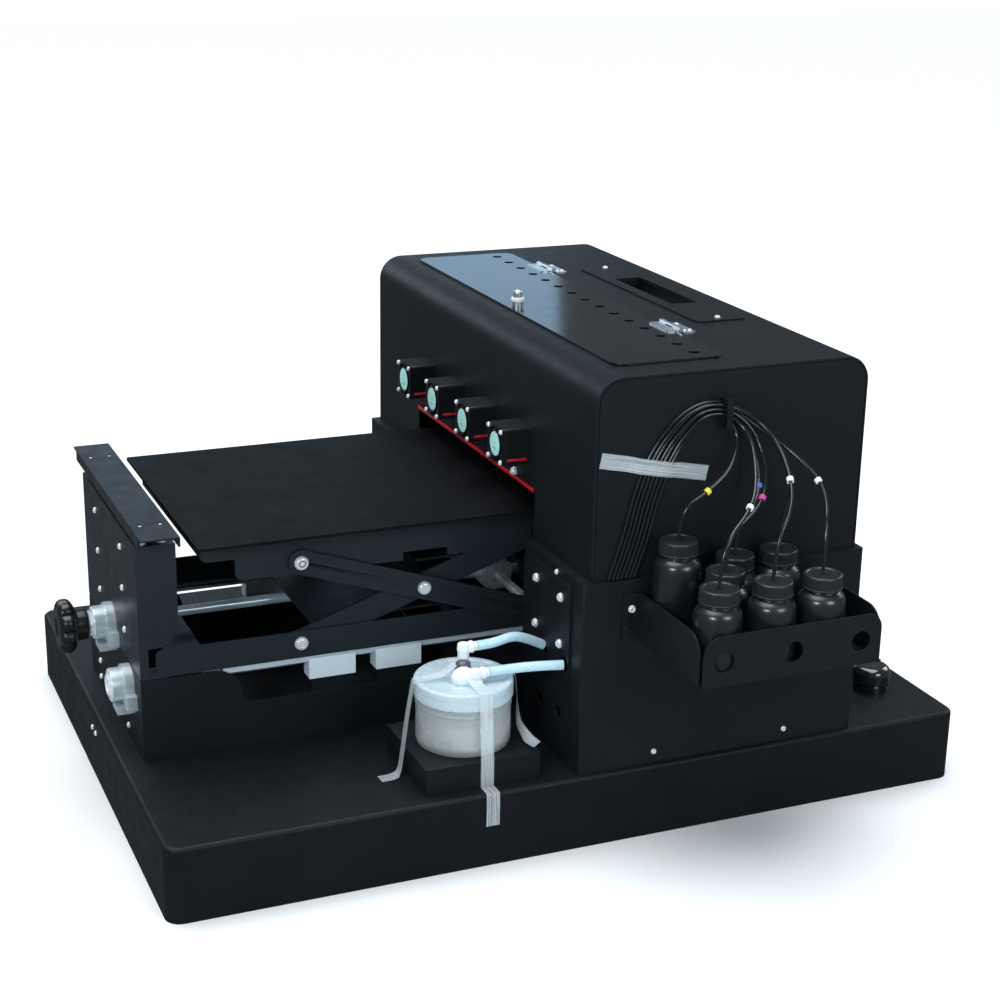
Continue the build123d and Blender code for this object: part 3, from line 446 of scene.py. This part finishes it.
def makeJar():
    low, high = corner("waste_jar"), corner("waste_jar", 1)
    centre = np.array([(low[0] + high[0]) / 2, (low[1] + high[1]) / 2, low[2]])
    r, wall, h = jar["radius"], jar["wall"], high[2] - low[2] - 1
    body = rounded([(0, 1.6), (r - 8, 1.6), (r - 5, 0), (r - 1, 0), (r, 4), (r, h - 20),
                    (r + 0.6, h - 19), (r + 0.6, h - 17.5), (r - 0.4, h - 17), (r - 0.4, h),
                    (r - wall, h), (r - wall, 5), (r - 6, 2.8), (0, 2.8)], 1.6)
    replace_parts(piece("jarBody", [turned(body, 128) + centre], "frostedJar", "base"), "waste_jar")
    sludge = rounded([(0, 3), (r - 7, 3), (r - wall - 0.4, 6), (r - wall - 0.4, 27), (r - 8, 26),
                      (0, 25)], 1.5)

    def settled(radius, height, angle):
        return 1 - 0.004 * (height > 20) * np.sin(3 * angle + 1)

    piece("jarResidue", [turned(sludge, 96, settled) + centre], "residue", "base")
    top = corner("jar_lid")[2] + 16 - centre[2]
    lr = jar["lidRadius"]
    lid = rounded([(0, top - 1), (lr - 7, top - 1), (lr - 6, top), (lr - 1.6, top), (lr, top - 1.6),
                   (lr, top - 7.5), (lr - 0.5, top - 8), (lr, top - 8.5), (lr, top - 15),
                   (lr - 0.6, top - 16), (r + 0.7, top - 16), (r + 0.7, top - 2.6), (0, top - 2.6)], 0.9)

    def ribs(radius, height, angle):
        skirt = (height < top - 2) & (height > top - 15) & (radius > lr - 0.8)
        return 1 - 0.004 * skirt * (0.5 + 0.5 * np.cos(jar["ribs"] * angle))

    cover = piece("jarLid", [turned(lid, jar["ribs"] * 4, ribs) + centre], "frostedLid", "base")
    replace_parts(cover, "jar_lid")
    fittings = []
    for route in hoseRoutes:
        x, y, z = route[0]
        rise = z - centre[2] - top
        stem = rounded([(0, -2), (7, -2), (7, 1.5), (5.4, 3), (5.2, rise - 4), (6, rise - 2),
                        (5.4, rise + 4.2), (0, rise + 5)], 1.4)
        fittings.append(turned(stem, 32) + (x, y - 13, centre[2] + top))
        barb = [(0, -4), (5.2, -4), (5.4, 2), (4.4, 4), (5.6, 6), (5.6, 8.5), (4.3, 9), (4.3, 12.6),
                (0, 12.8)]
        fittings.append(placed(turned(rounded(barb, 0.8), 32), (x, y - 13, z), (0, 1, 0)))
    blob = np.array([0.9, 1.0, 1.06])
    dome = turned(rounded([(0, -2), (11, -2), (11.5, 4), (8.5, 9), (4, 11.5), (0, 12)], 4), 40)
    fittings.append(dome * blob + (centre[0] + 10, centre[1] - 4, centre[2] + top))
    piece("jarFittings", fittings, "whitePlastic", "base")
    valve = rounded([(0, 0), (7.5, 0), (7.8, 5), (6.8, 9), (6.8, 12), (4, 14.6), (0, 15)], 2)
    piece("jarVent", [turned(valve, 36) + (centre[0] - 1, centre[1], centre[2] + top)], "ventPlastic",
          "base")
    print("waste jar")


# adhesive tapes
def strip(points, sides, width, across=9, each=10):
    # a band: a smooth curve through the points, and at each of them the direction of its width
    points, sides = np.array(points, float), np.array(sides, float)
    t = np.linspace(0, len(points) - 1, (len(points) - 1) * each + 1)
    k = np.minimum(t.astype(int), len(points) - 2)
    u = (t - k)[:, None]
    before, after = np.maximum(k - 1, 0), np.minimum(k + 2, len(points) - 1)

    def through(values):
        # Catmull-Rom curve through the values
        p0, p1, p2, p3 = values[before], values[k], values[k + 1], values[after]
        return 0.5 * (2 * p1 + (p2 - p0) * u + (2 * p0 - 5 * p1 + 4 * p2 - p3) * u ** 2
                      + (3 * p1 - p0 - 3 * p2 + p3) * u ** 3)

    centre, side = through(points), through(sides)
    side /= np.linalg.norm(side, axis=1)[:, None]
    w = np.linspace(-0.5, 0.5, across) * width
    return centre[:, None] + side[:, None] * w[None, :, None]


def tape(name, points, sides, width):
    grid = strip(points, sides, width)
    ob = piece(name, [grid], "clearTape", "base", around=False)
    rows, columns = grid.shape[:2]
    length = np.concatenate([[0], np.cumsum(np.linalg.norm(np.diff(grid[:, columns // 2], axis=0),
                                                           axis=1))])
    # the map runs along the tape in millimetres and across it in shares of its width
    uv = ob.data.uv_layers.new(name="along")
    corners = np.zeros(len(ob.data.loops), int)
    ob.data.loops.foreach_get("vertex_index", corners)
    place = np.zeros(len(ob.data.vertices) * 3)
    ob.data.vertices.foreach_get("co", place)
    place = place.reshape(-1, 3) / mm
    nearest = np.argmin(((place[:, None] - grid.reshape(-1, 3)[None]) ** 2).sum(-1), 1)
    mapped = np.stack([length[nearest // columns] * mm, (nearest % columns) / (columns - 1)], -1)
    uv.data.foreach_set("uv", mapped[corners].ravel())
    thick = ob.modifiers.new("thickness", "SOLIDIFY")
    thick.thickness, thick.offset = 0.00025, 0
    return ob


def makeTapes():
    x, y = (corner("waste_jar") + corner("waste_jar", 1))[:2] / 2
    edge = corner("base_pan", 1)[0]
    floor = corner("base_pan", 1)[2]
    step = corner("waste_stand", 1)
    over = x + jar["lidRadius"]
    tape("tapeFront", [(x + 14, y + 1, 168), (x + 22, y + 1, 161), (over - 8, y + 2, 158.2),
                       (over + 0.3, y + 2.5, 157.4), (over + 1.8, y + 3, 150),
                       (step[0] - 0.4, y + 3, 108), (step[0] + 0.8, y + 3, 95), (step[0] + 1, y + 3, 73),
                       (step[0] + 2.4, y + 3, floor + 0.5), (edge - 3.5, y + 3, floor + 0.5),
                       (edge + 0.2, y + 3, floor - 2.5), (edge + 0.4, y + 3, floor - 31)],
         [(0, 1, 0)] * 12, 12.5)
    tape("tapeLeft", [(x + 2, y - 9, 170), (x - 1, y - 22, 160), (x - 4, y - 40, 157.2),
                      (x - 5, y - 45.2, 156), (x - 6, y - 47, 148), (x - 6, y - 52, 118),
                      (x - 3, y - 57, 90), (x + 2, y - 62, 74), (x + 4, y - 68, floor + 0.6),
                      (x + 5, y - 81, floor + 0.5)], [(1, -0.1, 0)] * 8 + [(1, 0.05, 0)] * 2, 12)
    tape("tapeBack", [(x + 6, y + 14, 168), (x + 8, y + 26, 159), (x + 11, y + 42, 157.3),
                      (x + 12, y + 45, 154), (x + 14, y + 46.5, 132), (x + 17, y + 47, 112),
                      (x + 24, y + 49, 104), (x + 32, y + 51, 100), (x + 42, y + 55, 98)],
         [(1, -0.3, 0)] * 4 + [(0.9, -0.3, 0.1), (0.6, 0.1, 0.7), (0.1, 0.3, 0.9), (-0.3, 0.8, 0.5),
                               (-0.5, 0.85, 0.2)], 10)
    low = panelX + 0.3
    lift = 2 * tubing["radius"] + 0.7
    ys = [-1, 14, 26, 34, 42, 54, 64, 74, 88, 103]
    rise = [0, 0, 0.1, 0.8, 1, 1, 0.9, 0.2, 0, 0]
    tape("tapePanel", [(low + lift * r, yy, 363 - 0.21 * (yy + 1)) for yy, r in zip(ys, rise)],
         [(0, 0.2, 1)] * 10, 14)
    print("tapes")


# handwheel and channel
wheel = dict(radius=26.5, lobes=8, thick=16, hub=15)


def makeHandwheel():
    low, high = corner("handwheel"), corner("handwheel", 1)
    front = np.array([(low[0] + high[0]) / 2, low[1], (low[2] + high[2]) / 2])
    r, t = wheel["radius"] - 1, wheel["thick"]
    outline = rounded([(0, 1.5), (8, 1.5), (10, 0), (r - 5, 0), (r, 4), (r, t - 4), (r - 5, t),
                       (wheel["hub"], t), (wheel["hub"], high[1] - low[1] - 3.6),
                       (8, high[1] - low[1] - 3.4)], 3.5, 6)

    def lobes(radius, height, angle):
        # round lobes with narrow hollows between them, fading out towards the hub
        wave = np.abs(np.cos(wheel["lobes"] / 2 * angle)) ** 0.7
        rim = np.clip((radius - wheel["hub"]) / (r - wheel["hub"]), 0, 1)
        return 1 - 0.17 * rim * (1 - wave)

    grip = placed(turned(outline, 192, lobes), front, (0, 1, 0))
    knob = piece("handwheelGrip", [grip], "knobPlastic", "handwheel", smooth=60)
    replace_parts(knob, "handwheel")
    nutFront = high[1] - low[1] - 3.4
    nut = rounded([(5, nutFront), (11, nutFront), (12, nutFront + 0.6), (12, nutFront + 3),
                   (5, nutFront + 3.2)], 0.4, 2)

    def hexagon(radius, height, angle):
        return 0.9 / np.cos((angle + np.pi / 6) % (np.pi / 3) - np.pi / 6)

    piece("lockNut", [placed(turned(nut, 96, hexagon), front, (0, 1, 0))], "brightSteel", "handwheel",
          smooth=25)
    for name, node, body in (("liftRing", "lift_bearing", "table"), ("feedRing", "feed_bearing", "base")):
        a, b = corner(node), corner(node, 1)
        centre = ((a[0] + b[0]) / 2 - 5, a[1] - 0.2, b[2] - 18)
        ring = rounded([(7, 2), (7, -2.2), (9.5, -2.6), (10.5, -0.6), (14.6, -0.6), (15, 1)], 0.8, 3)
        piece(name, [placed(turned(ring, 64), centre, (0, 1, 0))], "brightSteel", body)
    print("handwheel and bearings")


# screws
def screwHead(radius, height):
    # low domed head with a round-bottomed hexagon socket
    outline = rounded([(0, height * 0.35), (radius * 0.42, height * 0.4), (radius * 0.46, height * 0.95),
                       (radius * 0.66, height), (radius * 0.94, height * 0.55), (radius, height * 0.1),
                       (radius, 0)], radius * 0.12, 3)

    def socket(r, z, angle):
        inside = r < radius * 0.55
        return np.where(inside, 0.92 / np.cos((angle + np.pi / 6) % (np.pi / 3) - np.pi / 6), 1)

    return turned(outline, 36, socket)


def makeScrews():
    heads = []
    front = corner("lower_body")[1] - 2
    for side in (1, -1):
        for x in (186, 239):
            for z in (182.5, 227):
                heads.append(placed(screwHead(4.3, 3.2), (side * x, front, z), (0, -1, 0)))
        heads.append(placed(screwHead(2.6, 2), (side * 225, front + 2, 246), (0, -1, 0)))
        for y in (61, 197):
            heads.append(placed(screwHead(2.7, 1.8), (side * 280, y, 81.5), (side, 0, 0)))
    heads.append(placed(screwHead(4.2, 4.2), (106, corner("cowl")[1], 304), (0, -1, 0)))
    fanFront = corner("fan_shrouds")[1]
    for x in fanXs:
        for dx in (-fanHole, fanHole):
            for dz in (-fanHole, fanHole):
                heads.append(placed(screwHead(2.4, 2), (x + dx, fanFront, fanZ + dz), (0, -1, 0)))
    plateTop = corner("panel_plate", 1)[2]
    for x in (-137, 109):
        heads.append(placed(screwHead(2.9, 2), (x, 200, plateTop), up))
    standFront = corner("stand")[1]
    for x, z in ((-69, 95), (-69, 78), (57, 95), (55, 80)):
        heads.append(placed(screwHead(3, 2), (x, standFront, z), (0, -1, 0)))
    baseFront = corner("base_pan")[1]
    for x in (-16, -1):
        heads.append(placed(screwHead(2.7, 1.7), (x, baseFront, 50), (0, -1, 0)))
    for y in (32, 226):
        heads.append(placed(screwHead(3.6, 2.4), (281.5, y, 225), (1, 0, 0)))
    for x in (-166, -140, 119.5, 145.5):
        for y in (145, 150.5):
            heads.append(placed(screwHead(1.9, 1.2), (x, y, corner("hinge_leaves")[2] + 1.2), up))
    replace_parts(piece("cabinetScrews", heads, "brightSteel", "base", smooth=30), "body_screws")

    loose, frameFront = [], corner("table_frame")[1]
    for x, z in ((-59, 254), (-54, 215), (52, 255), (54, 216), (-53, 176), (56, 176)):
        loose.append(placed(screwHead(3.1, 2), (x, frameFront, z), (0, -1, 0)))
    shelf, channelTop = corner("table_frame", 1)[2], corner("top_channel", 1)[2]
    for x in (-107, 107):
        for y in (frameFront + 7, frameFront + 25):
            foot = rounded([(0, 0), (5, 0), (5, 2.4), (3.4, 3.4), (3, 4), (3, channelTop - shelf - 3.2),
                            (0, channelTop - shelf - 3)], 0.8, 3)
            loose.append(turned(foot, 32) + (x, y, shelf))
            loose.append(turned(rounded([(0, -1.6), (1.5, -1.6), (1.5, -0.4), (0, -0.3)], 0.2, 2),
                                16) + (x, y, channelTop))
    pin = rounded([(0, 4.5), (2.2, 4.5), (2.4, 3.4), (3, 3.4), (3.2, 4.6), (5, 4.2), (6.5, 2.2), (6.5, 0),
                   (0, 0)], 0.8, 3)
    pivotY, pivotZ, armLength, armAngle = -220, 164, 250, 18.6
    for side in (1, -1):
        loose.append(placed(turned(pin, 40), (side * 115, pivotY, pivotZ), (side, 0, 0)))
    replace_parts(piece("tableScrews", loose, "brightSteel", "table", smooth=30), "table_screws")
    bedPins = [placed(turned(pin * 1.03, 40), (side * 118.9, pivotY,
                                               pivotZ + armLength * sin(radians(armAngle))),
                      (side, 0, 0)) for side in (1, -1)]
    piece("bedPins", bedPins, "brightSteel", "bed", smooth=30)
    print("screws and pins")


# fans and trim
fanXs, fanZ, fanHole = (-121.8, -40.6, 40.6, 121.8), 338, 14.5


def makeTrim():
    front = corner("fan_shrouds")[1]
    labels, marks, leads = [], [], []
    for x in fanXs:
        disc = rounded([(0, 0.5), (10.6, 0.5), (11.4, 0.2), (11.5, -0.3), (0, -0.3)], 0.3, 3)
        labels.append(placed(turned(disc, 64), (x, front, fanZ), (0, -1, 0)))
        ring = rounded([(12.4, 0), (12.4, 0.8), (13.4, 0.8), (13.4, 0), (12.4, 0)], 0.3, 3)
        marks.append(placed(turned(ring, 64), (x, front, fanZ), (0, -1, 0)))
        for z in (325.4, 326.5):
            lead = rounded([(0, 0), (0.55, 0), (0.55, 19), (0, 19)], 0.2, 2)
            leads.append(placed(turned(lead, 12), (x + 18.3, front + 5, z), (0, 1, 0)))
    piece("fanLabels", labels, "mintLabel", "base")
    piece("fanRings", marks, "fanPlastic", "base")
    piece("fanLeads", leads, "redTrim", "base")
    bars = []
    for x in fanXs:
        for dx, dz, half in ((0, -4.2, 3.2), (1.2, 0.8, 0.9)):
            box = np.array([[-half, -0.35], [half, -0.35], [half, 0.35], [-half, 0.35]])
            rows = []
            for depth, size in ((-0.1, 0), (-0.1, 1), (0.62, 1), (0.62, 0)):
                flat = np.concatenate([box * size, np.full((4, 1), depth)], 1)
                rows.append(np.stack([x + dx + flat[:, 0], front - flat[:, 2],
                                      fanZ + dz + flat[:, 1] + flat[:, 0] * -0.3], -1))
            bars.append(np.array(rows))
    piece("fanMarks", bars, "darkGreen", "base")
    # red edging: a slit sleeve pushed over the sheet's edge, along the opening's upper lip
    lipY, lipZ, half = corner("cowl")[1], 297, 151.5
    section = rounded([(-1.2, 3.2), (-1.2, -0.8), (0.4, -1.4), (2.2, -1.2), (3.2, -0.8), (3.2, 3.2),
                       (2.4, 3.2), (2.4, 0.2), (-0.4, 0.2), (-0.4, 3.2), (-1.2, 3.2)], 0.8, 3)
    xs = np.linspace(-half, half, 24)
    sleeve = np.stack([np.broadcast_to(xs[:, None], (24, len(section))),
                       np.broadcast_to(lipY + section[:, 0], (24, len(section))),
                       np.broadcast_to(lipZ + section[:, 1], (24, len(section)))], -1)
    piece("lipEdging", [sleeve], "redTrim", "base")
    # key legends: a small pale bar on each key
    for k in range(5):
        a, b = corner(f"button_{k + 1}"), corner(f"button_{k + 1}", 1)
        mid, half = (a + b) / 2, 3.6
        loop = np.array([[-half, -0.8], [half, -0.8], [half, 0.8], [-half, 0.8]])
        rows = [np.concatenate([loop * size, np.full((4, 1), z)], 1) for z,
                size in ((0, 0), (0, 1), (0.25, 1), (0.25, 0))]
        grid = np.array(rows) + (mid[0], mid[1], b[2] - 0.1)
        piece(f"keyLegend{k + 1}", [grid], "legend", f"button_{k + 1}")
    band = rounded([(4.5, 0), (6.3, 0), (6.5, 0.8), (6.5, 3), (6.3, 3.8), (4.5, 3.8), (4.5, 0)], 0.5, 3)
    piece("knobBand", [turned(band, 48) + (5, 37, corner("lid", 1)[2] + 4.5)], "whitePlastic", "lid")
    print("fans, edging and legends")


makeBottles()
makeCords()
makeJar()
makeTapes()
makeHandwheel()
makeScrews()
makeTrim()


# studio
# The camera stands off the handwheel end, on the bottles' side.
cameraSet = dict(place=(1.6678, -0.6881, 0.8433), azimuth=66.87, elevation=18.45, roll=1.07, lens=68.56)


def makeCamera(values):
    az, el, roll = (radians(values[k]) for k in ("azimuth", "elevation", "roll"))
    back = Vector((sin(az) * cos(el), -cos(az) * cos(el), sin(el)))
    right = Vector((0, 0, 1)).cross(back).normalized()
    up = back.cross(right)
    xAxis = cos(roll) * right + sin(roll) * up
    yAxis = -sin(roll) * right + cos(roll) * up
    turn = Matrix((xAxis, yAxis, back)).transposed().to_4x4()
    camera = bpy.data.objects.new("camera", bpy.data.cameras.new("camera"))
    camera.data.lens = values["lens"]
    camera.data.clip_start, camera.data.clip_end = 0.05, 30
    camera.matrix_world = Matrix.Translation(values["place"]) @ turn
    bpy.context.collection.objects.link(camera)
    bpy.context.scene.camera = camera


lights = [
    # name, place, what it points at, width, height, power, colour
    ("softLeft", (-2.6, -0.9, 1.15), (0, -0.1, 0.3), 1.4, 0.9, 8, (0.7, 0.86, 1.0)),
    ("cardLeft", (-2.57, 0.6, 1.0), (0, 0.08, 0.437), 1.25, 0.5, 2.2, (0.45, 0.72, 1.0)),
    ("flash", (1.72, -1.78, 1.25), (0.1, -0.05, 0.2), 0.6, 0.5, 20, (0.86, 0.94, 1.0)),
    ("rear", (-0.8, 2.9, 1.7), (0, 0.1, 0.2), 1.6, 1.2, 22, (0.84, 0.93, 1.0)),
    ("right", (2.7, 0.9, 1.5), (0.2, 0.0, 0.2), 1.2, 1.2, 26, (0.8, 0.91, 1.0)),
]
sky = dict(strength=3.3, spread=60, elevation=80, heading=215, seen=1.3, felt=0.13)


def makeLights():
    for name, place, target, width, height, power, colour in lights:
        lamp = bpy.data.lights.new(name, "AREA")
        lamp.shape = "RECTANGLE"
        lamp.size, lamp.size_y, lamp.energy, lamp.color = width, height, power, colour
        ob = bpy.data.objects.new(name, lamp)
        ob.location = place
        ob.rotation_euler = (Vector(target) - Vector(place)).to_track_quat("-Z", "Y").to_euler()
        bpy.context.collection.objects.link(ob)
    sun = bpy.data.lights.new("ceiling", "SUN")
    sun.energy, sun.angle, sun.color = sky["strength"], radians(sky["spread"]), (0.94, 0.975, 1.0)
    ob = bpy.data.objects.new("ceiling", sun)
    a, e = radians(sky["heading"]), radians(sky["elevation"])
    ob.rotation_euler = Vector((-cos(a) * cos(e), -sin(a) * cos(e), -sin(e))).to_track_quat("-Z",
                                                                                            "Y").to_euler()
    bpy.context.collection.objects.link(ob)
    # the backdrop is white where the camera sees it and dim where the coated sheets mirror it
    world = bpy.data.worlds.new("studio")
    world.use_nodes = True
    tree = world.node_tree
    back = tree.nodes["Background"]
    back.inputs["Color"].default_value = (0.93, 0.97, 1.0, 1)
    rays = tree.nodes.new("ShaderNodeLightPath")
    level = tree.nodes.new("ShaderNodeMapRange")
    level.inputs["To Min"].default_value = sky["felt"]
    level.inputs["To Max"].default_value = sky["seen"]
    tree.links.new(rays.outputs["Is Camera Ray"], level.inputs["Value"])
    tree.links.new(level.outputs["Result"], back.inputs["Strength"])
    bpy.context.scene.world = world


def makeFloor():
    size = 9.0
    floor = bpy.data.meshes.new("floor")
    floor.from_pydata([(-size, -size, 0), (size, -size, 0), (size, size, 0), (-size, size, 0)], [],
                      [(0, 1, 2, 3)])
    floor.materials.append(finish("floorPaper", dict(color=(0.93, 0.93, 0.93), rough=0.8, roughDrift=0.05,
                                                     grain=60, grainDepth=0.0001, tone=0.01,
                                                     specular=0.2)))
    ob = bpy.data.objects.new("floor", floor)
    bpy.context.collection.objects.link(ob)
    ob.visible_glossy = False


bpy.context.scene.view_settings.view_transform = "Standard"
makeCamera(cameraSet)
makeLights()
makeFloor()
